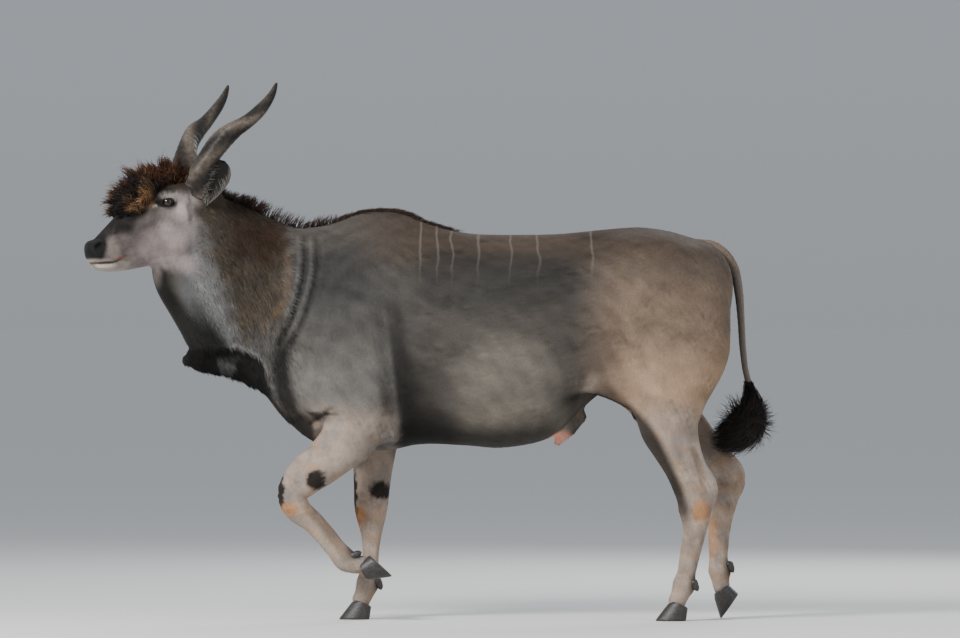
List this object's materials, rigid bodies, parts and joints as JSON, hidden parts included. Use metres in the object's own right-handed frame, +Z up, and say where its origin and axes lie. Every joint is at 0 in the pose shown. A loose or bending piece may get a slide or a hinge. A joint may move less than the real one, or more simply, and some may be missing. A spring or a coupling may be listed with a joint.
{
  "type": "common eland bull",
  "caption": "Life-size still model of a common eland bull walking, its head turned to its left, with spiral horns, a hanging dewlap and a dark forehead brush.",
  "frame": {"origin": "on the ground under the middle of the animal's box", "axes": "+Z up; the animal walks towards -X; its left side is -Y"},
  "size_m": [2.738, 0.745, 2.1475],
  "materials": {
    "body_hair": "short taupe hair",
    "leg_hair": "short pale beige hair",
    "dark_hair": "long dark brown to black hair",
    "horn": "worn, ridged horn",
    "hoof": "dull horn",
    "eye": "wet and glossy"
  },
  "bodies": {
    "root": {"claw_fore_left_left": "hoof", "claw_fore_left_right": "hoof", "claw_fore_right_left": "hoof", "claw_fore_right_right": "hoof", "claw_hind_left_left": "hoof", "claw_hind_left_right": "hoof", "claw_hind_right_left": "hoof", "claw_hind_right_right": "hoof", "dewclaw_fore_left_left": "hoof", "dewclaw_fore_left_right": "hoof", "dewclaw_fore_right_left": "hoof", "dewclaw_fore_right_right": "hoof", "dewclaw_hind_left_left": "hoof", "dewclaw_hind_left_right": "hoof", "dewclaw_hind_right_left": "hoof", "dewclaw_hind_right_right": "hoof", "dewlap": "body_hair", "ear_left": "body_hair", "ear_right": "body_hair", "eye_left": "eye", "eye_right": "eye", "forehead_brush": "dark_hair", "foreleg_left": "leg_hair", "foreleg_right": "leg_hair", "head": "body_hair", "hindleg_left": "leg_hair", "hindleg_right": "leg_hair", "horn_left": "horn", "horn_right": "horn", "mane": "dark_hair", "neck": "body_hair", "tail": "leg_hair", "tail_tuft": "dark_hair", "trunk": "body_hair"}
  },
  "joints": []
}
